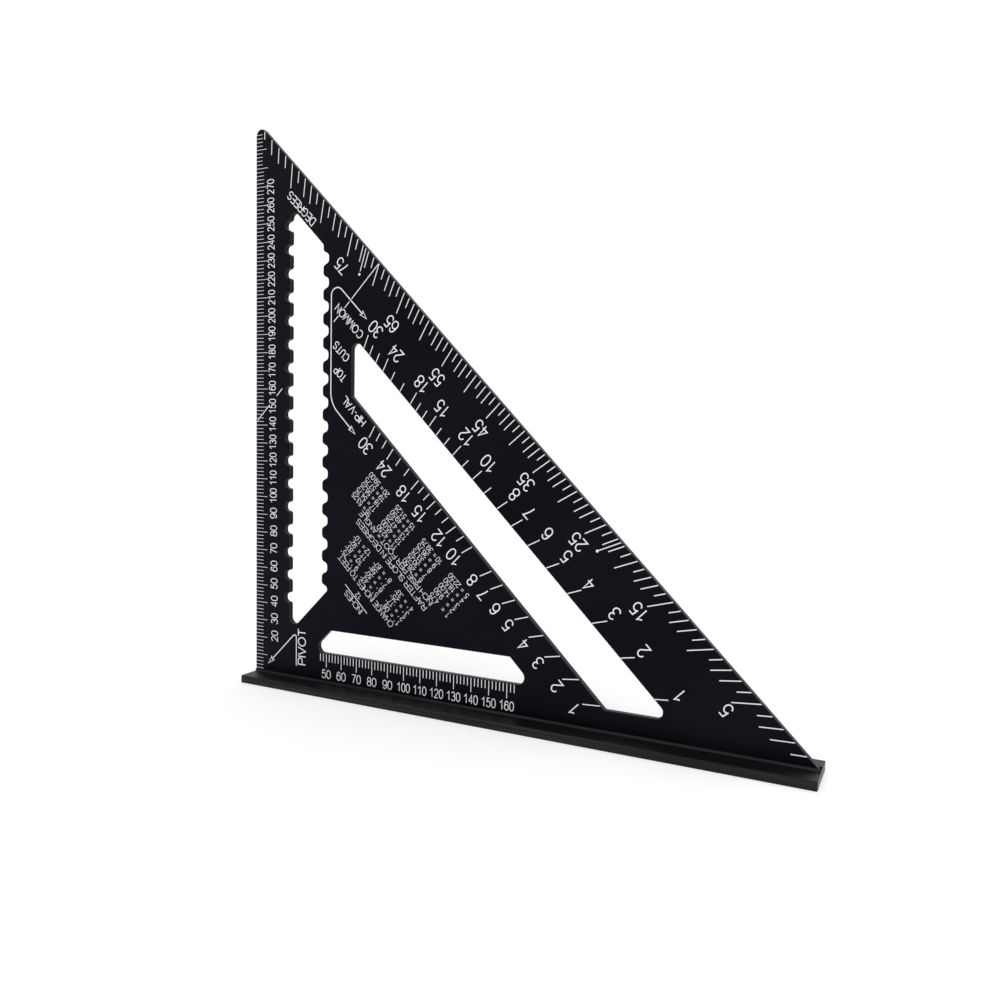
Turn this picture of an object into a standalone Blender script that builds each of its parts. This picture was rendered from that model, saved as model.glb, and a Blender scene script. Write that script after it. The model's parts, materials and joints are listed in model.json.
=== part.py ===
"""Speed square: a triangular blade plate seated in a T-shaped fence rail.

Metres, +Z up. The square stands on its fence, with its marked face towards -Y. X runs along
the fence, from the square corner to the sharp corner. The origin is on the underside of the
fence, in the middle of its length and of its width.

Outlines are drawn in the blade's own plane, as (x, z) points measured from the square corner:
x along the fence, z up from the fence's top face.
"""
import math

import bmesh
import bpy
from mathutils import Matrix, Vector

MM = 0.001

# Overall sizes
LEG = 306.0 * MM                  # both legs of the triangle, from the square corner
FENCE_WIDTH = 27.0 * MM           # front to back, with the blade in the middle
FENCE_THICKNESS = 4.3 * MM
BLADE_THICKNESS = 3.0 * MM
TIP_RADIUS = 3.5 * MM             # rounding of the blade's upper tip

# Seat of the blade in the fence
SEAT_DEPTH = 2.4 * MM             # groove below the fence's top face
SEAT_GAP = 0.3 * MM               # clearance round the blade's tongue
COVE_RADIUS = 1.2 * MM            # hollow fillet along both sides of the blade
COVE_LIP = 0.3 * MM               # thickness of the cove's upper lip
FENCE_EDGE_RADIUS = 0.6 * MM      # rounded long edges of the rail

# Corners of the rafter and base slots
SLOT_CORNER_RADIUS = 3.2 * MM     # acute corners
SLOT_BEND_RADIUS = 1.5 * MM       # obtuse corners, and those of the ruler slot

# Ruler slot, which stands beside the upright edge
UPRIGHT_STRIP = 24.4 * MM         # from the upright edge to the slot
RULER_SLOT_WIDTH = 21.9 * MM
DEGREE_BAND = 16.9 * MM           # square to the sloping edge, from it to the slot's top
RULER_SLOT_FOOT = 25.3 * MM       # height of the slot's lower corner
RULER_SLOT_FOOT_RADIUS = 3.4 * MM
RULER_SLOT_HEAD_RADIUS = 2.6 * MM

# Scribing notches in both walls of the ruler slot, which narrow from mouth to root
NOTCH_PITCH = 12.7 * MM
NOTCH_DEPTH = 3.6 * MM
NOTCH_ROOT_RADIUS = 2.2 * MM
NOTCH_LAND = 0.4 * MM             # straight wall that the lips of two notches always leave
OUTER_NOTCH_MOUTH = 5.6 * MM      # in the wall beside the upright edge
OUTER_NOTCH_ROOT = 4.2 * MM
OUTER_NOTCH_LIP_RADIUS = 1.5 * MM
INNER_NOTCH_MOUTH = 7.6 * MM      # in the wall across from it
INNER_NOTCH_ROOT = 4.2 * MM
INNER_NOTCH_LIP_RADIUS = 2.2 * MM

# Rafter slot, which runs along the sloping edge
RAFTER_BAND = 37.3 * MM           # square to the sloping edge, from it to the slot
RAFTER_SLOT_WIDTH = 22.7 * MM     # square to the sloping edge
RULER_WEB = 19.1 * MM             # from the ruler slot to the rafter slot
RAFTER_SLOT_FOOT = 10.7 * MM      # height of its lower edge

# Base slot, which lies above the fence
BASE_SLOT_START = 44.4 * MM       # from the upright edge to its rounded end
BASE_SLOT_LOW = 16.2 * MM
BASE_SLOT_HIGH = 29.2 * MM
BASE_SLOT_END_RADIUS = 3.6 * MM   # its two rounded ends
BASE_WEB = 21.8 * MM              # square to the sloping edge, from it to the rafter slot

ARC_STEP = math.radians(18.0)
CUT_MARGIN = 5.0 * MM             # how far the cutters run past what they cut
SAME_POINT = 0.001 * MM

DIAGONAL = math.sqrt(2.0)         # a 45 degree width, read along x or z
SLOPE_SUM = LEG                   # x + z is the same all along the sloping edge
SQUARE_CORNER = (-LEG / 2, 0.0, FENCE_THICKNESS)


def clear_scene():
    for obj in list(bpy.data.objects):
        bpy.data.objects.remove(obj, do_unlink=True)


def collection(name):
    made = bpy.data.collections.new(name)
    bpy.context.scene.collection.children.link(made)
    return made


def metal(name, colour, roughness):
    """Anodised metal: a dark dye on bare aluminium."""
    material = bpy.data.materials.new(name)
    material.use_nodes = True
    shader = material.node_tree.nodes["Principled BSDF"]
    shader.inputs["Base Color"].default_value = (*colour, 1.0)
    shader.inputs["Metallic"].default_value = 1.0
    shader.inputs["Roughness"].default_value = roughness
    material.diffuse_color = (*colour, 1.0)
    return material


def rounded(corners):
    """The outline of a polygon whose corners are (x, z, radius)."""
    points = []
    for index, corner in enumerate(corners):
        following = corners[(index + 1) % len(corners)]
        for point in corner_arc(corners[index - 1], corner, following):
            if not points or (point - points[-1]).length > SAME_POINT:
                points.append(point)
    return points


def corner_arc(previous, corner, following):
    """The points that round one corner, from the side before it to the side after it."""
    here, radius = Vector(corner[:2]), corner[2]
    if radius < SAME_POINT:
        return [here]
    before = (Vector(previous[:2]) - here).normalized()
    after = (Vector(following[:2]) - here).normalized()
    half = before.angle(after) / 2
    centre = here + (before + after).normalized() * radius / math.sin(half)
    start = here + before * radius / math.tan(half) - centre
    sweep = math.copysign(math.pi - 2 * half, -before.cross(after))
    steps = math.ceil(abs(sweep) / ARC_STEP)
    return [centre + Matrix.Rotation(sweep * step / steps, 2) @ start for step in range(steps + 1)]


def flat_solid(name, outlines, thickness, group, rotation):
    """A closed mesh made from flat outlines, filled and extruded to a thickness."""
    curve = bpy.data.curves.new(name, "CURVE")
    curve.dimensions = "2D"
    curve.fill_mode = "BOTH"
    curve.extrude = thickness / 2
    for outline in outlines:
        spline = curve.splines.new("POLY")
        spline.points.add(len(outline) - 1)
        for point, place in zip(spline.points, outline):
            point.co = (place[0], place[1], 0.0, 1.0)
        spline.use_cyclic_u = True
    drawing = bpy.data.objects.new(name + "_outline", curve)
    drawing.rotation_euler = rotation
    bpy.context.scene.collection.objects.link(drawing)
    bpy.context.view_layer.update()
    depsgraph = bpy.context.evaluated_depsgraph_get()
    mesh = bpy.data.meshes.new_from_object(drawing.evaluated_get(depsgraph))
    mesh.name = name
    weld_caps(mesh)
    solid = bpy.data.objects.new(name, mesh)
    solid.matrix_world = drawing.matrix_world
    bpy.data.objects.remove(drawing, do_unlink=True)
    bpy.data.curves.remove(curve)
    group.objects.link(solid)
    return solid


def weld_caps(mesh):
    """Joins the filled faces to the walls, and turns all faces outwards."""
    work = bmesh.new()
    work.from_mesh(mesh)
    bmesh.ops.remove_doubles(work, verts=work.verts, dist=0.01 * MM)
    bmesh.ops.recalc_face_normals(work, faces=work.faces)
    work.to_mesh(mesh)
    work.free()


def standing_plate(name, outlines, thickness, group):
    """A plate in the blade's plane, from (x, z) outlines."""
    return flat_solid(name, outlines, thickness, group, (math.radians(90), 0.0, 0.0))


def long_rail(name, section, length, group):
    """A rail along X, from its (y, z) section."""
    return flat_solid(name, [section], length, group, (math.radians(90), 0.0, math.radians(90)))


def blade_outline():
    """The triangle, with the tongue below it that the groove holds."""
    tongue_foot = SEAT_GAP - SEAT_DEPTH
    return rounded([(0.0, tongue_foot, 0.0),
                    (LEG, tongue_foot, 0.0),
                    (LEG, 0.0, 0.0),
                    (0.0, SLOPE_SUM, TIP_RADIUS)])


def ruler_slot_walls():
    """The x of the ruler slot's two upright walls."""
    return UPRIGHT_STRIP, UPRIGHT_STRIP + RULER_SLOT_WIDTH


def half_notch_height():
    """The height where the ruler slot's foot runs out into the root of half a notch."""
    return RULER_SLOT_FOOT + RULER_SLOT_WIDTH + NOTCH_DEPTH


def ruler_slot():
    """An upright slot: its top follows the sloping edge, and its foot crosses it squarely."""
    left, right = ruler_slot_walls()
    root = right + NOTCH_DEPTH
    height = half_notch_height()
    top_sum = SLOPE_SUM - DEGREE_BAND * DIAGONAL
    return rounded([(left, RULER_SLOT_FOOT, RULER_SLOT_FOOT_RADIUS),
                    (root, height, SLOT_BEND_RADIUS),
                    (root, height + INNER_NOTCH_ROOT / 2, NOTCH_ROOT_RADIUS),
                    (right, height + INNER_NOTCH_MOUTH / 2, INNER_NOTCH_LIP_RADIUS),
                    (right, top_sum - right, SLOT_BEND_RADIUS),
                    (left, top_sum - left, RULER_SLOT_HEAD_RADIUS)])


def rafter_slot():
    """A slot along the sloping edge, cut off upright at its top and level at its foot."""
    outer_sum = SLOPE_SUM - RAFTER_BAND * DIAGONAL
    inner_sum = outer_sum - RAFTER_SLOT_WIDTH * DIAGONAL
    left = ruler_slot_walls()[1] + RULER_WEB
    return rounded([(inner_sum - RAFTER_SLOT_FOOT, RAFTER_SLOT_FOOT, SLOT_BEND_RADIUS),
                    (outer_sum - RAFTER_SLOT_FOOT, RAFTER_SLOT_FOOT, SLOT_CORNER_RADIUS),
                    (left, outer_sum - left, SLOT_CORNER_RADIUS),
                    (left, inner_sum - left, SLOT_BEND_RADIUS)])


def base_slot():
    """A level slot: its ends are round below and slope at 45 degrees above."""
    radius = BASE_SLOT_END_RADIUS
    shoulder = BASE_SLOT_LOW + radius * DIAGONAL
    slope_run = BASE_SLOT_HIGH - shoulder
    start = BASE_SLOT_START
    end = SLOPE_SUM - (RAFTER_BAND + RAFTER_SLOT_WIDTH + BASE_WEB) * DIAGONAL - shoulder
    return rounded([(start, BASE_SLOT_LOW, radius),
                    (end, BASE_SLOT_LOW, radius),
                    (end, shoulder, radius),
                    (end - slope_run, BASE_SLOT_HIGH, SLOT_BEND_RADIUS),
                    (start + slope_run, BASE_SLOT_HIGH, SLOT_BEND_RADIUS),
                    (start, shoulder, radius)])


def notch(wall, side, z, shape, low, high):
    """One notch cut into a wall, towards +x for side 1 and -x for side -1.

    Its shape is its mouth, its root and the radius of its lips. The lips are rounded no further
    than the straight wall reaches, up to the next notch or from low to high.
    """
    mouth, root, lip_radius = shape
    lip_radius = min(lip_radius, (NOTCH_PITCH - mouth - NOTCH_LAND) / 2)
    foot, head = z - mouth / 2, z + mouth / 2
    low_lip = min(lip_radius, foot - low)
    high_lip = min(lip_radius, high - head)
    bottom = wall + side * NOTCH_DEPTH
    open_side = wall - side * CUT_MARGIN
    return rounded([(open_side, foot - low_lip, 0.0),
                    (wall, foot - low_lip, 0.0),
                    (wall, foot, low_lip),
                    (bottom, z - root / 2, NOTCH_ROOT_RADIUS),
                    (bottom, z + root / 2, NOTCH_ROOT_RADIUS),
                    (wall, head, high_lip),
                    (wall, head + high_lip, 0.0),
                    (open_side, head + high_lip, 0.0)])


def notch_row(wall, side, first, shape, low, high):
    """Every notch whose mouth fits a straight wall, a pitch apart from height first."""
    mouth = shape[0]
    heights = []
    z = first
    while z + mouth / 2 <= high:
        if z - mouth / 2 >= low:
            heights.append(z)
        z += NOTCH_PITCH
    return [notch(wall, side, z, shape, low, high) for z in heights]


def notches():
    """Both rows: whole pitches on the inner wall, half pitches on the outer one."""
    left, right = ruler_slot_walls()
    top_sum = SLOPE_SUM - DEGREE_BAND * DIAGONAL
    foot_reach, head_reach = (radius / math.tan(math.radians(22.5))
                              for radius in (RULER_SLOT_FOOT_RADIUS, RULER_SLOT_HEAD_RADIUS))
    outer_shape = (OUTER_NOTCH_MOUTH, OUTER_NOTCH_ROOT, OUTER_NOTCH_LIP_RADIUS)
    inner_shape = (INNER_NOTCH_MOUTH, INNER_NOTCH_ROOT, INNER_NOTCH_LIP_RADIUS)
    outer = notch_row(left, -1, NOTCH_PITCH / 2, outer_shape,
                      RULER_SLOT_FOOT + foot_reach, top_sum - left - head_reach)
    inner = notch_row(right, 1, NOTCH_PITCH, inner_shape,
                      half_notch_height() + INNER_NOTCH_MOUTH / 2 + INNER_NOTCH_LIP_RADIUS,
                      top_sum - right - SLOT_BEND_RADIUS)
    return outer + inner


def fence_section():
    """The rail's (y, z) section: a flat bar, a groove for the blade and a cove on each side."""
    half = FENCE_WIDTH / 2
    groove = BLADE_THICKNESS / 2 + SEAT_GAP
    lip = groove + COVE_LIP
    front = [(-groove, -SEAT_DEPTH, 0.0),
             (-groove, COVE_RADIUS, 0.0),
             (-lip, COVE_RADIUS, 0.0),
             (-lip, 0.0, COVE_RADIUS),
             (-half, 0.0, FENCE_EDGE_RADIUS),
             (-half, -FENCE_THICKNESS, FENCE_EDGE_RADIUS)]
    back = [(-y, z, radius) for y, z, radius in reversed(front)]
    return rounded(front + back)


def subtract(solid, cutter):
    cut = solid.modifiers.new(cutter.name, "BOOLEAN")
    cut.operation = "DIFFERENCE"
    cut.solver = "EXACT"
    cut.object = cutter
    cutter.hide_render = True
    cutter.display_type = "WIRE"


def make_blade(parts, cutters, corner):
    """The plate: a triangle with three slots, and the notches along the ruler slot."""
    outlines = [blade_outline(), ruler_slot(), rafter_slot(), base_slot()]
    blade = standing_plate("blade", outlines, BLADE_THICKNESS, parts)
    blade.parent = corner
    notch_tool = standing_plate("notch_tool", notches(), BLADE_THICKNESS + 2 * CUT_MARGIN, cutters)
    notch_tool.parent = corner
    subtract(blade, notch_tool)
    blade.data.materials.append(metal("blade_anodised", (0.010, 0.010, 0.013), 0.42))


def make_fence(parts, corner):
    """The rail that hooks over the edge of a board, flush with the blade at both ends."""
    fence = long_rail("fence", fence_section(), LEG, parts)
    fence.location = (LEG / 2, 0.0, 0.0)
    fence.parent = corner
    fence.data.materials.append(metal("fence_anodised", (0.022, 0.020, 0.022), 0.38))


def main():
    clear_scene()
    parts = collection("speed_square")
    cutters = collection("cutters")
    corner = bpy.data.objects.new("square_corner", None)
    corner.location = SQUARE_CORNER
    parts.objects.link(corner)
    make_blade(parts, cutters, corner)
    make_fence(parts, corner)


main()
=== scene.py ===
"""Speed square: the looks of a black anodised rafter square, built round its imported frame.

Millimetres are used for the square's own sizes. Its outlines and markings are (x, z) places in
the plane of the blade, from the square corner: x along the fence, z up from the fence's top.
"""

import json
import math

import bmesh
import bpy
from mathutils import Matrix, Vector
from mathutils.geometry import delaunay_2d_cdt


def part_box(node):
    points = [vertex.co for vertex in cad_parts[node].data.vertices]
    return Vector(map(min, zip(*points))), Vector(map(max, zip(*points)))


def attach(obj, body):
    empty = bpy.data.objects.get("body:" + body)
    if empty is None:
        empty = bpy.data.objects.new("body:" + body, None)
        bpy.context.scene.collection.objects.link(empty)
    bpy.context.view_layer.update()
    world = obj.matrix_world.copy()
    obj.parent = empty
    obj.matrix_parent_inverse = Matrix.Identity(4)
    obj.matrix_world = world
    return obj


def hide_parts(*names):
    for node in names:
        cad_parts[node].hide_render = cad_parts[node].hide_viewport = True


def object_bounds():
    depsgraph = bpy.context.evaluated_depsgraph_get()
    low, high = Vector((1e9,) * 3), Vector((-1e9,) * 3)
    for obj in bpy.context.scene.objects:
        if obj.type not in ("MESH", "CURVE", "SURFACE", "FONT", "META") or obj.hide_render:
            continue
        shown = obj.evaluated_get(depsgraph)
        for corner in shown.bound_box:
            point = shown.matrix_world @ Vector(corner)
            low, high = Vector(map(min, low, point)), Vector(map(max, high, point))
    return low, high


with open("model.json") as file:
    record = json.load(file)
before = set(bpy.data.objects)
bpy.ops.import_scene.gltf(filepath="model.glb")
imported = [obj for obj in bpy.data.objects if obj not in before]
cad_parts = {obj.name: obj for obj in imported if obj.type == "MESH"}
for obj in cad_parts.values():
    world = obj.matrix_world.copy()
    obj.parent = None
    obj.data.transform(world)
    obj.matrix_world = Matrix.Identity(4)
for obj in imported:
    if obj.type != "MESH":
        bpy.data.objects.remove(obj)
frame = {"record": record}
cad_low, cad_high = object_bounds()


# ---------------------------------------------------------------------------------------------
# The blade: a right-angled triangle of 3 mm aluminium plate. Its outline, its three slots and
# two rows of scribing notches are milled, the edges are broken with a light chamfer, and the
# plate is then bead blasted and anodised black. Its foot is a tongue that sits in the fence.
# ---------------------------------------------------------------------------------------------
MM = 0.001
DIAGONAL = math.sqrt(2.0)

blade_low, blade_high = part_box("blade")
front_ledge = next(m for m in frame["record"]["mounts"] if m["name"] == "front_ledge")
square_corner = Vector((blade_low.x, 0.0, front_ledge["pos_m"][2]))
leg = (blade_high.x - blade_low.x) / MM
blade_half = blade_high.y / MM
tongue_foot = (blade_low.z - square_corner.z) / MM

chamfer = 0.3
tip_radius = 3.5
slot_corner, slot_bend = 3.2, 1.5
ruler_left, ruler_right, ruler_foot = 24.4, 46.3, 25.3
foot_corner, head_corner = 3.4, 2.6
degree_band = 16.9
notch_pitch, notch_depth, notch_radius = 12.7, 3.6, 2.2
outer_notch, inner_notch = (5.6, 4.2, 1.5), (7.6, 4.2, 2.2)  # mouth, root and lip radius
outer_notches, inner_notches = range(3, 20), range(4, 19)
rafter_left, rafter_foot = 65.4, 10.7
rafter_band, rafter_width = 37.3, 22.7
base_start, base_low, base_high, base_radius = 44.4, 16.2, 29.2, 3.6
base_web = 21.8
weld, smooth_below = 0.001, 25.0

rafter_outer = leg - rafter_band * DIAGONAL
rafter_inner = rafter_outer - rafter_width * DIAGONAL
ruler_top = leg - degree_band * DIAGONAL


def in_blade(x, z, y=0.0):
    """A place in the blade's plane, in millimetres from the square corner, as metres."""
    return square_corner + Vector((x, y, z)) * MM


def bow(centre_x, centre_z, wide, high, start, end, step=6.5):
    """Points along an elliptical arc, from one angle to another in degrees."""
    count = max(2, math.ceil(abs(end - start) / step))
    angles = [math.radians(start + (end - start) * n / count) for n in range(count + 1)]
    return [(centre_x + wide * math.cos(a), centre_z + high * math.sin(a)) for a in angles]


def rounded(corners, closed=True):
    """A line through corners (x, z, radius), each one turned by an arc of its radius."""
    points = []
    for index, (x, z, radius) in enumerate(corners):
        is_end = not closed and index in (0, len(corners) - 1)
        if radius == 0.0 or is_end:
            points.append((x, z))
            continue
        here = Vector((x, z))
        following = corners[(index + 1) % len(corners)]
        before = (Vector(corners[index - 1][:2]) - here).normalized()
        after = (Vector(following[:2]) - here).normalized()
        half = before.angle(after) / 2
        centre = here + (before + after).normalized() * radius / math.sin(half)
        spoke = here + before * radius / math.tan(half) - centre
        turn = math.copysign(180.0 - math.degrees(2 * half), -before.cross(after))
        start = math.degrees(math.atan2(spoke.y, spoke.x))
        points += bow(*centre, radius, radius, start, start + turn)
    return points


def notched_wall(wall, side, places, shape):
    """The corners of a row of notches up a wall, cut towards +x for side 1."""
    mouth, root, lip = shape
    deep = wall + side * notch_depth
    corners = []
    for z in places:
        corners += [(wall, z - mouth / 2, lip), (deep, z - root / 2, notch_radius),
                    (deep, z + root / 2, notch_radius), (wall, z + mouth / 2, lip)]
    return corners


def ruler_slot():
    """The upright slot: notches at whole pitches inside and half pitches outside it.

    Its sloping foot runs out into the root of the lowest inner notch.
    """
    outer = [notch_pitch * (k + 0.5) for k in outer_notches]
    inner = [notch_pitch * k for k in inner_notches]
    inner_wall = notched_wall(ruler_right, 1, inner, inner_notch)
    inner_wall[0:2] = [(ruler_right + notch_depth, inner[0], slot_bend)]
    return rounded([(ruler_left, ruler_foot, foot_corner),
                    *notched_wall(ruler_left, -1, outer, outer_notch),
                    (ruler_left, ruler_top - ruler_left, head_corner),
                    (ruler_right, ruler_top - ruler_right, slot_bend),
                    *reversed(inner_wall)])


def rafter_slot():
    """The slot along the sloping edge, cut off upright at its top and level at its foot."""
    return rounded([(rafter_inner - rafter_foot, rafter_foot, slot_bend),
                    (rafter_left, rafter_inner - rafter_left, slot_bend),
                    (rafter_left, rafter_outer - rafter_left, slot_corner),
                    (rafter_outer - rafter_foot, rafter_foot, slot_corner)])


def base_slot():
    """The level slot above the fence, with ends that are round below and slope above."""
    shoulder = base_low + base_radius * DIAGONAL
    run = base_high - shoulder
    end = rafter_inner - base_web * DIAGONAL - shoulder
    return rounded([(base_start, base_low, base_radius), (base_start, shoulder, base_radius),
                    (base_start + run, base_high, slot_bend), (end - run, base_high, slot_bend),
                    (end, shoulder, base_radius), (end, base_low, base_radius)])


def plate(name, outlines, half, edge):
    """A flat plate from outlines: filled, given its thickness, and chamfered all round."""
    curve = bpy.data.curves.new(name, "CURVE")
    curve.dimensions = "2D"
    curve.fill_mode = "BOTH"
    curve.extrude = (half - edge) * MM
    curve.bevel_depth = edge * MM
    curve.bevel_resolution = 0
    curve.offset = -edge * MM
    for outline in outlines:
        spline = curve.splines.new("POLY")
        spline.points.add(len(outline) - 1)
        for point, (x, z) in zip(spline.points, outline):
            point.co = (x * MM, z * MM, 0.0, 1.0)
        spline.use_cyclic_u = True
    drawing = bpy.data.objects.new(name, curve)
    bpy.context.scene.collection.objects.link(drawing)
    bpy.context.view_layer.update()
    solid = drawing.evaluated_get(bpy.context.evaluated_depsgraph_get())
    mesh = bpy.data.meshes.new_from_object(solid)
    bpy.data.objects.remove(drawing)
    work = bmesh.new()
    work.from_mesh(mesh)
    bmesh.ops.remove_doubles(work, verts=work.verts, dist=weld * MM)
    bmesh.ops.dissolve_degenerate(work, edges=work.edges, dist=weld * MM)
    bmesh.ops.recalc_face_normals(work, faces=work.faces)
    work.to_mesh(mesh)
    work.free()
    return mesh


def piece(name, mesh, material):
    """Puts a mesh into the scene as one piece of the square, smooth round its curves."""
    mesh.name = name
    mesh.shade_smooth()
    mesh.set_sharp_from_angle(angle=math.radians(smooth_below))
    mesh.materials.clear()
    mesh.materials.append(material)
    made = bpy.data.objects.new(name, mesh)
    bpy.context.scene.collection.objects.link(made)
    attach(made, "root")
    return made


class Shade:
    """A shader socket: sums on it add Math nodes, and node() adds a node of any other kind."""

    def __init__(self, tree, socket=None):
        self.tree = tree
        self.socket = socket

    def node(self, kind, settings, inputs, output=0):
        made = self.tree.nodes.new("ShaderNode" + kind)
        for name, value in settings.items():
            setattr(made, name, value)
        for name, value in inputs.items():
            if isinstance(value, Shade):
                self.tree.links.new(value.socket, made.inputs[name])
            else:
                made.inputs[name].default_value = value
        return Shade(self.tree, made.outputs[output])

    def math(self, operation, *values):
        return self.node("Math", {"operation": operation}, dict(enumerate(values)))

    def __add__(self, other):
        return self.math("ADD", self, other)

    def __sub__(self, other):
        return self.math("SUBTRACT", self, other)

    def __rsub__(self, other):
        return self.math("SUBTRACT", other, self)

    def __mul__(self, other):
        return self.math("MULTIPLY", self, other)

    def __gt__(self, other):
        return self.math("GREATER_THAN", self, other)

    __radd__ = __add__
    __rmul__ = __mul__

    def place(self, stretch=(1.0, 1.0, 1.0)):
        """The point on the piece, in metres, stretched along its axes."""
        point = self.node("TexCoord", {}, {}, "Object")
        return self.node("VectorMath", {"operation": "MULTIPLY"}, {0: point, 1: stretch})

    def noise(self, point, per_metre, detail=2.0):
        return self.node("TexNoise", {}, {"Vector": point, "Scale": per_metre, "Detail": detail})

    def ramp(self, value, low, high):
        """A value between low and high, stretched to run from 0 to 1."""
        return self.node("MapRange", {}, {"Value": value, "From Min": low, "From Max": high})

    def mix(self, share, first, second):
        return self.node("Mix", {"data_type": "RGBA"}, {0: share, 6: first, 7: second}, 2)

    def facing(self, axis):
        """How squarely the surface faces along an axis, either way."""
        normal = self.node("TexCoord", {}, {}, "Normal")
        parts = self.node("SeparateXYZ", {}, {0: normal}, axis)
        return parts.math("ABSOLUTE", parts)

    def bump(self, height, depth):
        """A surface that rises by depth, in metres, where height is 1."""
        return self.node("Bump", {}, {"Height": height, "Strength": 1.0, "Distance": depth})

    def into(self, shader, name):
        self.tree.links.new(self.socket, shader.inputs[name])


def finish(name, constants):
    """A material, its shader with the constants set on it, and a start for its nodes."""
    material = bpy.data.materials.new(name)
    material.use_nodes = True
    shader = material.node_tree.nodes["Principled BSDF"]
    for socket, value in constants.items():
        shader.inputs[socket].default_value = value
    return material, shader, Shade(material.node_tree)


# Black dye on blasted plate: slightly violet on the faces, thinner on the cut edges.
blade_black, shader, shade = finish("blade_anodised", {"Metallic": 1.0})
violet_dyes = (0.0052, 0.0050, 0.0082, 1.0), (0.0080, 0.0076, 0.0110, 1.0)
milled_dyes = (0.009, 0.0085, 0.009, 1.0), (0.019, 0.018, 0.018, 1.0)
chamfer_dye = (0.026, 0.025, 0.026, 1.0)
blast_depth = 0.006
cloud = shade.ramp(shade.noise(shade.place(), per_metre=14.0, detail=3.0), 0.35, 0.65)
grain = shade.noise(shade.place(), per_metre=2600.0)
milled = shade.noise(shade.place((1.0, 0.04, 1.0)), per_metre=1800.0)
flat = shade.facing("Y") > 0.95
chamfered = (shade.facing("Y") > 0.5) - flat
dye = shade.mix(cloud, *violet_dyes)
edge_dye = shade.mix(chamfered, shade.mix(milled, *milled_dyes), chamfer_dye)
shade.mix(flat, edge_dye, dye).into(shader, "Base Color")
(0.36 + 0.08 * grain + 0.05 * cloud).into(shader, "Roughness")
shade.bump(grain * flat + milled * (1 - flat), blast_depth * MM).into(shader, "Normal")

outer_edge = rounded([(0.0, tongue_foot, 0.0), (leg, tongue_foot, 0.0),
                      (leg, 0.0, 0.0), (0.0, leg, tip_radius)])
blade_mesh = plate("blade_plate", [outer_edge, ruler_slot(), rafter_slot(), base_slot()],
                   blade_half, chamfer)
blade_mesh.transform(Matrix.Translation(square_corner) @ Matrix.Rotation(math.radians(90), 4, "X"))
blade = piece("blade_plate", blade_mesh, blade_black)
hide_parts("blade")


# ---------------------------------------------------------------------------------------------
# The fence: an extruded aluminium rail that hooks over the edge of a board. It has a groove
# for the blade, a small cove on both sides of it, and fine lines along it from the die. It is
# sawn to the blade's length, lightly deburred and anodised with it.
# ---------------------------------------------------------------------------------------------
fence_low, fence_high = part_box("fence")
fence_half = fence_high.y / MM
fence_foot = (fence_low.z - square_corner.z) / MM
fence_length = (fence_high.x - fence_low.x) / MM

fit_gap = 0.03
groove_floor = -2.4
cove_radius = 1.2
cove_lip = 0.05
rail_radius = 0.6
deburr_size, deburr_clear = 0.2, 0.3
end_tolerance, sharp_turn = 0.01, 1.0

groove = blade_half + fit_gap
lip = groove + cove_lip


def fence_section():
    """The rail's outline from its end, as (y, z): both halves of it, front and back."""
    front = [(-groove, groove_floor, 0.0), (-groove, cove_radius, 0.0), (-lip, cove_radius, 0.0),
             (-lip, 0.0, cove_radius), (-fence_half, 0.0, rail_radius),
             (-fence_half, fence_foot, rail_radius)]
    back = [(-y, z, radius) for y, z, radius in reversed(front)]
    return rounded(front + back)


def deburr(mesh):
    """Breaks the sawn edges at both ends, clear of the groove."""
    work = bmesh.new()
    work.from_mesh(mesh)
    ends = [edge for edge in work.edges
            if all(abs(abs(v.co.x) - fence_length / 2 * MM) < end_tolerance * MM for v in edge.verts)
            and edge.calc_face_angle(0.0) > sharp_turn
            and all(abs(v.co.y) > (lip + deburr_clear) * MM for v in edge.verts)]
    bmesh.ops.bevel(work, geom=ends, offset=deburr_size * MM, segments=1, affect="EDGES")
    work.to_mesh(mesh)
    work.free()


fence_black, shader, shade = finish("fence_anodised", {"Metallic": 0.8})
rail_dyes = (0.0065, 0.0062, 0.0072, 1.0), (0.024, 0.0215, 0.0235, 1.0)
sawn_dye = (0.060, 0.056, 0.044, 1.0)
die_line_depth = 0.008
die_lines = shade.noise(shade.place((0.01, 1.0, 1.0)), per_metre=2400.0, detail=4.0)
streaks = shade.noise(shade.place((0.015, 1.0, 1.0)), per_metre=900.0, detail=4.0)
grain = shade.noise(shade.place(), per_metre=2600.0)
sawn = shade.facing("X") > 0.9
dye = shade.mix(shade.ramp(streaks, 0.35, 0.65), *rail_dyes)
shade.mix(sawn, dye, sawn_dye).into(shader, "Base Color")
(0.36 + 0.16 * streaks + 0.05 * grain).into(shader, "Roughness")
shade.bump(die_lines * (1 - sawn) + grain * 0.5, die_line_depth * MM).into(shader, "Normal")

fence_mesh = plate("fence_rail", [fence_section()], fence_length / 2, 0.0)
stand_up = Matrix.Rotation(math.radians(90), 4, "Z") @ Matrix.Rotation(math.radians(90), 4, "X")
fence_mesh.transform(stand_up)
deburr(fence_mesh)
fence_mesh.transform(Matrix.Translation(square_corner + Vector((fence_length / 2 * MM, 0, 0))))
fence = piece("fence_rail", fence_mesh, fence_black)
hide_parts("fence")


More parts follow.
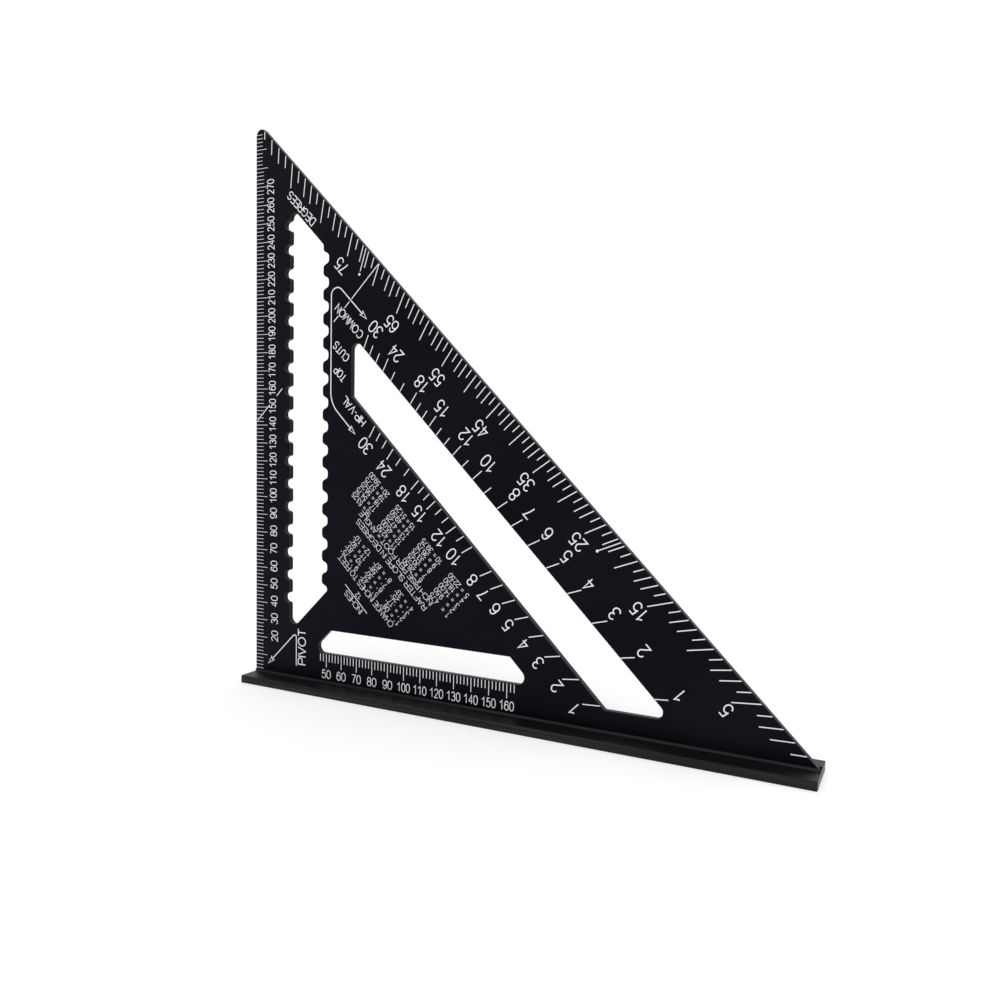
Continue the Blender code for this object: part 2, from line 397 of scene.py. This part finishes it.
# ---------------------------------------------------------------------------------------------
# The upright scale: millimetres up the square's upright edge, read from the fence. All the
# markings are burnt through the black layer by a laser, which leaves the metal below rough and
# pale. Each one is a line of constant width, a few hundredths of a millimetre thick.
# ---------------------------------------------------------------------------------------------
mark_height, mark_root = 0.03, 0.02
edge_gap = 0.4
tick_pitch, number_pitch = 2, 10
upright_last, upright_last_number = 298, 270
short_tick, long_tick = 5.5, 8.3
upright_tick_width = 0.25
tip_start, tip_shortening = 280, 0.9
first_number, number_start, number_end = 20, Vector((13.6, 21.5)), Vector((10.2, 269.6))
number_height, number_stroke = 4.9, 0.45
number_lengths = {2: 6.1, 3: 8.1}  # by the count of digits
mitre_limit = 0.45
ring_gap = 0.01
LETTER_GAP = 0.05
DIGIT = 0.58

# Each sign is its width, as a share of its height, and its strokes in a box one wide and high.
SIGNS = {
    "0": (DIGIT, [bow(.5, .60, .5, .40, 0, 180, 15) + bow(.5, .40, .5, .40, 180, 360, 15) + [(1, .60)]]),
    "1": (DIGIT, [[(.06, .74), (.36, .84), (.62, 1), (.62, 0)]]),
    "2": (DIGIT, [bow(.49, .71, .46, .29, 172, -28, 15) + [(.50, .34), (.0, 0), (1, 0)]]),
    "3": (DIGIT, [bow(.47, .76, .42, .24, 160, -95, 15), bow(.46, .27, .52, .27, 95, -160, 15)]),
    "4": (DIGIT, [[(.72, 0), (.72, 1), (0, .29), (1, .29)]]),
    "5": (DIGIT, [[(.88, 1), (.20, 1), (.09, .50)], bow(.48, .33, .50, .33, 142, -160, 15)]),
    "6": (DIGIT, [bow(.52, .66, .45, .34, 25, 172, 15) + [(.0, .40)], bow(.5, .32, .5, .32, 0, 360, 15)]),
    "7": (DIGIT, [[(0, 1), (1, 1), (.70, .68), (.48, .35), (.36, 0)]]),
    "8": (DIGIT, [bow(.5, .76, .42, .24, 0, 360, 15), bow(.5, .265, .5, .265, 0, 360, 15)]),
    "9": (DIGIT, [bow(.48, .34, .45, .34, 205, 352, 15) + [(1, .60)], bow(.5, .68, .5, .32, 0, 360, 15)]),
    "A": (.90, [[(0, 0), (.5, 1), (1, 0)], [(.18, .33), (.82, .33)]]),
    "C": (.90, [bow(.53, .5, .53, .5, 42, 318, 15)]),
    "D": (.84, [[(0, 1)] + bow(.45, .5, .55, .5, 90, -90, 15) + [(0, 0), (0, 1)]]),
    "E": (.74, [[(1, 1), (0, 1), (0, 0), (1, 0)], [(0, .52), (.92, .52)]]),
    "F": (.72, [[(1, 1), (0, 1), (0, 0)], [(0, .52), (.86, .52)]]),
    "G": (.94, [bow(.52, .5, .52, .5, 42, 318, 15) + [(1, .20), (1, .46), (.56, .46)]]),
    "H": (.78, [[(0, 0), (0, 1)], [(1, 0), (1, 1)], [(0, .53), (1, .53)]]),
    "I": (.14, [[(.5, 0), (.5, 1)]]),
    "L": (.66, [[(0, 1), (0, 0), (1, 0)]]),
    "M": (.90, [[(0, 0), (0, 1), (.5, .03), (1, 1), (1, 0)]]),
    "N": (.78, [[(0, 0), (0, 1), (1, 0), (1, 1)]]),
    "O": (.98, [bow(.5, .5, .5, .5, 0, 360, 15)]),
    "P": (.78, [[(0, 0), (0, 1)] + bow(.62, .73, .38, .27, 90, -90, 15) + [(0, .46)]]),
    "R": (.84, [[(0, 0), (0, 1)] + bow(.62, .73, .34, .27, 90, -90, 15) + [(0, .46)],
                [(.55, .46), (1, 0)]]),
    "S": (.80, [bow(.5, .75, .45, .25, 18, 250, 15) + bow(.5, .26, .5, .26, 72, -165, 15)]),
    "T": (.82, [[(0, 1), (1, 1)], [(.5, 1), (.5, 0)]]),
    "U": (.80, [[(0, 1)] + bow(.5, .36, .5, .36, 180, 360, 15) + [(1, 1)]]),
    "V": (.90, [[(0, 1), (.5, 0), (1, 1)]]),
    "-": (.36, [[(0, .36), (1, .36)]]),
    "=": (.56, [[(0, .32), (1, .32)], [(0, .62), (1, .62)]]),
    ".": (.14, [[(.5, -.02), (.5, .10)]]),
    "'": (.14, [[(.5, 1), (.5, .72)]]),
    " ": (.30, []),
}

ALONG_X, UP = Vector((1.0, 0.0)), Vector((0.0, 1.0))
UP_SLOPE = Vector((-1.0, 1.0)).normalized()


def run_length(text, height):
    """The length that a text takes at a height, before it is squeezed."""
    return height * (sum(SIGNS[sign][0] for sign in text) + LETTER_GAP * (len(text) - 1))


def lettering(text, middle, along, height, stroke, length=None):
    """The strokes of a line of text about its middle: along it reads, and up is to the left."""
    upward = Vector((-along.y, along.x))
    natural = run_length(text, height)
    squeeze = (length or natural) / natural
    cursor = -natural / 2
    strokes = []
    for sign in text:
        width, lines = SIGNS[sign]
        width *= height
        for line in lines:
            strokes.append([Vector(middle)
                            + along * (cursor * squeeze + stroke / 2 + x * (width * squeeze - stroke))
                            + upward * (stroke / 2 + z * (height - stroke) - height / 2)
                            for x, z in line])
        cursor += width + LETTER_GAP * height
    return [(points, stroke) for points in strokes]


def tick(start, towards, length, width):
    """A straight mark from a place, in a direction."""
    start = Vector(start)
    return [start, start + Vector(towards).normalized() * length], width


def sides(points, width):
    """The left and right sides of a line of constant width, with mitred corners."""
    ring = (points[0] - points[-1]).length < ring_gap
    if ring:
        points = points[:-1]
    left, right = [], []
    for index, here in enumerate(points):
        following = (index + 1) % len(points)
        before = here - points[index - 1] if ring or index else None
        after = points[following] - here if ring or following else None
        before, after = (before or after).normalized(), (after or before).normalized()
        middle = (before + after).normalized()
        reach = width / 2 / max(mitre_limit, middle.dot(after))
        out = Vector((-middle.y, middle.x)) * reach
        left.append(here + out)
        right.append(here - out)
    return left, right, ring


def merged(strokes):
    """The flat shape that overlapping strips make together: its places and its triangles."""
    places, quads = [], []
    for points, width in strokes:
        left, right, ring = sides(points, width)
        first, count = len(places), len(left)
        places += [place for pair in zip(left, right) for place in pair]
        for n in range(count if ring else count - 1):
            here, there = first + 2 * n, first + 2 * ((n + 1) % count)
            quads.append((here, here + 1, there + 1, there))
    inside_only = 1
    places, _, triangles, _, _, covered = delaunay_2d_cdt(places, [], quads, inside_only, weld / 2)
    return places, [triangle for triangle, strips in zip(triangles, covered) if strips]


def engrave(name, strokes):
    """Makes one piece, a thin solid on the front face, from marks that are (points, width)."""
    places, triangles = merged(strokes)
    work = bmesh.new()
    face_side = [work.verts.new(in_blade(*place, -(blade_half + mark_height))) for place in places]
    for triangle in triangles:
        work.faces.new([face_side[n] for n in triangle])
    bmesh.ops.dissolve_limit(work, angle_limit=math.radians(1.0), verts=work.verts, edges=work.edges)
    root_side = bmesh.ops.extrude_face_region(work, geom=work.faces[:])
    sunk = [part for part in root_side["geom"] if isinstance(part, bmesh.types.BMVert)]
    bmesh.ops.translate(work, verts=sunk, vec=(0.0, (mark_height + mark_root) * MM, 0.0))
    bmesh.ops.triangulate(work, faces=work.faces)
    bmesh.ops.recalc_face_normals(work, faces=work.faces)
    mesh = bpy.data.meshes.new(name)
    work.to_mesh(mesh)
    work.free()
    return piece(name, mesh, laser_white)


laser_white, shader, shade = finish("laser_marking", {"Metallic": 0.0})
burnt_greys = (0.54, 0.54, 0.56, 1.0), (0.80, 0.80, 0.83, 1.0)
burn_depth = 0.01
burn = shade.noise(shade.place(), per_metre=5200.0, detail=3.0)
shade.mix(burn, *burnt_greys).into(shader, "Base Color")
(0.62 + 0.2 * burn).into(shader, "Roughness")
shade.bump(burn, burn_depth * MM).into(shader, "Normal")

ticks = []
for z in range(tick_pitch, upright_last + 1, tick_pitch):
    reach = long_tick if z % number_pitch == 0 else short_tick
    if z > tip_start:
        reach -= tip_shortening
    ticks.append(tick((edge_gap, z), ALONG_X, reach - edge_gap, upright_tick_width))
engrave("upright_scale_ticks", ticks)

numbers = []
for z in range(first_number, upright_last_number + 1, number_pitch):
    share = (z - first_number) / (upright_last_number - first_number)
    numbers += lettering(str(z), number_start.lerp(number_end, share), UP,
                         number_height, number_stroke, length=number_lengths[len(str(z))])
engrave("upright_scale_numbers", numbers)


# ---------------------------------------------------------------------------------------------
# The base scale: millimetres along the lower edge of the base slot, for scribing lines at a
# set distance from the board's edge. Its ticks hang from the slot, and its numbers stand below.
# ---------------------------------------------------------------------------------------------
base_first, base_last = 46, 164
base_first_number, base_last_number = 50, 160
base_short_tick, base_long_tick = 4.1, 7.3
base_tick_width = 0.4
base_number_rise = 4.8

ticks, numbers = [], []
for x in range(base_first, base_last + 1, tick_pitch):
    reach = base_long_tick if x % number_pitch == 0 else base_short_tick
    ticks.append(tick((x, base_low - edge_gap), -UP, reach, base_tick_width))
for x in range(base_first_number, base_last_number + 1, number_pitch):
    numbers += lettering(str(x), (x, base_number_rise), ALONG_X, number_height, number_stroke,
                         length=number_lengths[len(str(x))])
engrave("base_scale_ticks", ticks)
engrave("base_scale_numbers", numbers)


# ---------------------------------------------------------------------------------------------
# The degree scale: rays from the pivot corner, cut off at the sloping edge, one to a degree.
# They are laser marks too. Two more, each with a dot, mark the settings 22.5 and 72.5 degrees.
# ---------------------------------------------------------------------------------------------
pivot = Vector((0.9, 0.1))
ray_width = 0.48
ray_depths = {0: 10.9, 1: 5.2, 2: 7.9}  # by how far the degree is from a multiple of five
odd_ray_depths = {5: 10.2, 10: 10.2, 80: 10.2, 85: 10.2, 87: 6.5, 88: 6.2, 89: 3.4}
dotted_rays = ((22.5, 11.2, 11.8), (72.5, 10.9, 12.4))  # the angle, and the ray's and dot's depth
dot_radius = 0.7
scale_height, scale_stroke = 6.9, 0.62
degree_numbers = ((75, 117.0, 16.9), (65, 72.4, 16.6), (55, 33.6, 16.6), (45, -2.1, 16.6),
                  (35, -37.4, 16.6), (25, -75.7, 16.2), (15, -118.2, 15.5), (5, -174.3, 14.3))


def on_slope(along, inward):
    """A place given along the sloping edge from its middle, and square to it inwards."""
    return Vector((leg / 2, leg / 2)) + UP_SLOPE * along - Vector((1.0, 1.0)).normalized() * inward


def ray(angle, start, end):
    """A piece of the ray from the pivot at an angle, between two distances from the slope."""
    towards = Vector((math.cos(angle), math.sin(angle)))
    places = []
    for inward in (start, end):
        total = leg - inward * DIAGONAL - pivot.x - pivot.y
        places.append(pivot + towards * total / (towards.x + towards.y))
    return places, ray_width


def dot(centre, radius):
    """A round spot, as a short ring that is as wide as its radius."""
    return [Vector(place) for place in bow(*centre, radius / 2, radius / 2, 0, 360, 30)], radius


rays = []
for degree in range(1, 90):
    depth = odd_ray_depths.get(degree, ray_depths[min(degree % 5, -degree % 5)])
    rays.append(ray(math.radians(degree), edge_gap, depth))
for degree, depth, dot_depth in dotted_rays:
    rays.append(ray(math.radians(degree), edge_gap, depth))
    rays.append(dot(ray(math.radians(degree), edge_gap, dot_depth)[0][1], dot_radius))
engrave("degree_rays", rays)

numbers = lettering("DEGREES", on_slope(158.7, 13.1), UP_SLOPE, height=4.7, stroke=0.52, length=24.4)
for degree, along, inward in degree_numbers:
    numbers += lettering(str(degree), on_slope(along, inward), UP_SLOPE, scale_height, scale_stroke)
engrave("degree_numbers", numbers)


# ---------------------------------------------------------------------------------------------
# The rafter scales: the two long edges of the rafter slot carry the rise in inches, for common
# rafters above (a run of 12) and for hip and valley rafters below (a run of 17).
# ---------------------------------------------------------------------------------------------
common_run, hip_valley_run = 12, 17
long_reach, minor_reach = 6.6, 4.7
long_rises = (30, 24, 18, 15, 12, 10, 8, 7, 6, 5, 4, 3, 2, 1)
common_minor = (28, 26, 22, 20, 17, 16, 14, 13, 11, 9)
hip_valley_minor = common_minor[:-1]
common_shift = {30: -1.2, 24: -1.5, 18: 0.9, 15: 0.2, 12: 1.0, 6: -0.4, 4: -0.5, 3: 0.4, 2: 0.4}
hip_valley_shift = {30: -1.4, 24: -2.0, 18: 1.3, 15: 1.1, 12: 0.9, 10: 1.4, 8: 1.4, 7: 0.7,
                    6: 0.5, 5: 0.3, 4: -0.9, 2: -0.8, 1: 0.7}


def rafter_scale(name, run, slot_edge, inward, minor_rises, number_inward, shifts, lifts, reaches):
    """One scale: its rays leave the slot's edge, and its numbers stand at their ends.

    Single numbers are shifted along the slope or lifted inwards, and single rays are shorter.
    """
    rays, numbers = [], []
    for rise in (*long_rises, *minor_rises):
        angle = math.atan2(rise, run)
        reach = minor_reach if rise in minor_rises else reaches.get(rise, long_reach)
        rays.append(ray(angle, slot_edge, slot_edge + inward * reach))
        if rise in long_rises:
            end = ray(angle, slot_edge, slot_edge + inward * long_reach)[0][1]
            along = (end - Vector((leg / 2, leg / 2))).dot(UP_SLOPE) + shifts.get(rise, 0.0)
            numbers += lettering(str(rise), on_slope(along, number_inward + lifts.get(rise, 0.0)),
                                 UP_SLOPE, scale_height, scale_stroke)
    engrave(name + "_rays", rays)
    engrave(name + "_numbers", numbers)


rafter_scale("common_scale", common_run, rafter_band - edge_gap, -1, common_minor,
             number_inward=25.2, shifts=common_shift, lifts={4: 0.6, 2: 1.0, 1: 1.3},
             reaches={2: 5.5, 1: 4.7})
rafter_scale("hip_valley_scale", hip_valley_run, rafter_band + rafter_width + edge_gap, 1,
             hip_valley_minor, number_inward=71.8, shifts=hip_valley_shift, lifts={}, reaches={})


# ---------------------------------------------------------------------------------------------
# The scale names: one looped arrow points to both rafter scales, and their names stand beside
# its ends. A thin broken line, square to the sloping edge, crosses it.
# ---------------------------------------------------------------------------------------------
dart_length, dart_notch, dart_half_width, dart_stroke = 4.6, 3.8, 1.3, 0.42
loop_x, loop_width = 51.9, 0.6
loop_top_bend, loop_foot_bend = 3.9, 15.0
square_line_place, square_line_width = 100.0, 0.5
square_line_dashes = ((0.8, 24.4), (26.4, 30.8), (36.4, 40.6), (89.9, 95.5), (103.2, 114.8))
name_height, name_stroke = 4.6, 0.5
names = (("COMMON", 92.9, 33.7, 23.2), ("CUTS", 85.4, 48.2, 12.4),
         ("TOP", 77.6, 56.9, 8.8), ("HIP-VAL", 57.4, 64.4, 19.2))


def arrow(tip, towards):
    """An open dart at a tip, and the place behind it where its shaft ends."""
    tip, towards = Vector(tip), Vector(towards).normalized()
    square = Vector((-towards.y, towards.x))
    wings = [tip - towards * dart_length + square * side * dart_half_width for side in (1, -1)]
    notch = tip - towards * dart_notch
    return [tip, wings[0], notch, wings[1], tip], notch


common_tip, hip_tip = on_slope(85.6, 25.3), on_slope(48.2, 72.2)
common_dart, common_shaft = arrow(common_tip, -UP_SLOPE)
hip_dart, hip_shaft = arrow(hip_tip, -UP_SLOPE)
loop = rounded([(*common_shaft, 0.0),
                (loop_x, common_shaft.x + common_shaft.y - loop_x, loop_top_bend),
                (loop_x, hip_shaft.x + hip_shaft.y - loop_x, loop_foot_bend),
                (*hip_shaft, 0.0)], closed=False)
engrave("loop_arrow", [([Vector(place) for place in loop], loop_width),
                       (common_dart, dart_stroke), (hip_dart, dart_stroke)])

engrave("square_line", [([on_slope(square_line_place, near), on_slope(square_line_place, far)],
                         square_line_width) for near, far in square_line_dashes])

engrave("scale_names", [line for text, along, inward, length in names
                        for line in lettering(text, on_slope(along, inward), UP_SLOPE,
                                              name_height, name_stroke, length)])


# ---------------------------------------------------------------------------------------------
# The pivot mark: a bent arrow that points to the square corner, which is held against the
# board while the square is turned to an angle.
# ---------------------------------------------------------------------------------------------
pivot_tip = (9.2, 5.5)
pivot_line, pivot_line_foot, pivot_line_head, pivot_bend = 29.2, 6.6, 25.6, 1.2
pivot_line_width, pivot_dart_width = 0.55, 0.45

pivot_dart, pivot_shaft = arrow(pivot_tip, (-1.0, -1.0))
bent = rounded([(pivot_line, pivot_line_foot, 0.0), (pivot_line, pivot_line_head, pivot_bend),
                (*pivot_shaft, 0.0)], closed=False)
word = lettering("PIVOT", (33.1, 17.7), UP, height=5.7, stroke=0.62, length=20.4)
engrave("pivot_mark", [([Vector(place) for place in bent], pivot_line_width),
                       (pivot_dart, pivot_dart_width), *word])


# ---------------------------------------------------------------------------------------------
# The tables: inches as parts of a foot, and the angle of a roof for each rise in inches to a
# foot of run. Their values are worked out here, the angles to the nearest quarter degree.
# ---------------------------------------------------------------------------------------------
table_height, table_stroke = 3.1, 0.26
row_pitch = 3.87
fraction_line, fraction_width = 133.0, 0.4
inch_rows, inch_top, inch_blocks = 4, 121.4, (-42.0, -22.8, -4.6)
slope_rows, slope_top, slope_first, slope_pitch = 5, 95.1, -42.2, 23.0


def table_text(text, along, inward, length=None, height=table_height):
    """One word or value of a table."""
    return lettering(text, on_slope(along, inward), UP_SLOPE, height, table_stroke, length)


table = table_text("INCHES", -15.0, 135.6, 14.7, 3.4)
table += table_text("12", -14.7, 130.7)
table.append(([on_slope(-25.0, fraction_line), on_slope(-4.8, fraction_line)], fraction_width))
table += table_text("CHANGE INCHES TO FEET", -15.5, 125.1, 48.4, 3.5)
for inch in range(1, 13):
    block, row = divmod(inch - 1, inch_rows)
    inward = inch_top - row * row_pitch
    start = inch_blocks[block]
    share = "1.0" if inch == 12 else f"{inch / 12:.2f}"[1:]
    table += table_text(str(inch), start + (2.5 if inch > 9 else 1.2), inward)
    table += table_text("'", start + (4.4 if block == 2 else 3.4), inward)
    table += table_text("=", start + 6.4, inward)
    table += table_text(share, start + 11.2, inward)
    table += table_text("'", start + 14.2, inward)
engrave("inch_table", table)

table = table_text("RAFTER SLOPE IN DEGREES", -15.8, 102.9, 60.8, 3.3)
table += table_text("INCH RISE PER FOOT = ANGLE", -15.2, 98.4, 63.2, 3.1)
for rise in range(1, 21):
    block, row = divmod(rise - 1, slope_rows)
    inward = slope_top - row * row_pitch
    end = slope_first + slope_pitch * block
    value = f"{round(math.degrees(math.atan2(rise, common_run)) * 4) / 4:.2f}"
    table += table_text(str(rise), end - 14.3, inward)
    table += table_text("=", end - 10.6, inward)
    table += table_text(value, end - run_length(value, table_height) / 2, inward)
engrave("slope_table", table)


# ---------------------------------------------------------------------------------------------
# The stage: a plain pale floor and plain soft light all round, and the camera in front of the
# square's sharp corner, at the height of the middle of the blade.
# ---------------------------------------------------------------------------------------------
white = (1.0, 1.0, 1.0, 1.0)
floor_greys = (0.64, 0.64, 0.64, 1.0), (0.66, 0.66, 0.66, 1.0)
pale, shader, shade = finish("pale_floor", {"Roughness": 0.9, "Specular IOR Level": 0.1,
                                            "Emission Color": white, "Emission Strength": 0.35})
speckle = shade.noise(shade.place(), per_metre=30.0)
shade.mix(speckle, *floor_greys).into(shader, "Base Color")

floor_half = 6.0
work = bmesh.new()
bmesh.ops.create_grid(work, x_segments=1, y_segments=1, size=floor_half)
floor_mesh = bpy.data.meshes.new("floor")
work.to_mesh(floor_mesh)
work.free()
floor_mesh.materials.append(pale)
floor = bpy.data.objects.new("floor", floor_mesh)
floor.location.z = cad_low.z
bpy.context.scene.collection.objects.link(floor)

world = bpy.data.worlds.new("soft_room")
world.use_nodes = True
sky = world.node_tree.nodes["Background"]
sky.inputs["Color"].default_value = white
sky.inputs["Strength"].default_value = 1.04
bpy.context.scene.world = world
bpy.context.scene.view_settings.view_transform = "Standard"


lamp = bpy.data.lights.new("key_light", "AREA")
lamp.size = 1.2
lamp.energy = 12.0
key_light = bpy.data.objects.new("key_light", lamp)
key_light.location = (1.1, -1.3, 1.5)
lit_place = Vector((0.0, 0.0, 0.1))
key_light.rotation_euler = (lit_place - key_light.location).to_track_quat("-Z", "Y").to_euler()
bpy.context.scene.collection.objects.link(key_light)

lens = bpy.data.cameras.new("camera")
lens.lens = 31.24
lens.sensor_width = 36.0
lens.clip_start = 0.01
camera = bpy.data.objects.new("camera", lens)
camera.location = (0.189615, -0.376259, 0.139964)
camera.rotation_euler = (math.radians(85.891), math.radians(-1.167), math.radians(26.782))
bpy.context.scene.collection.objects.link(camera)
bpy.context.scene.camera = camera
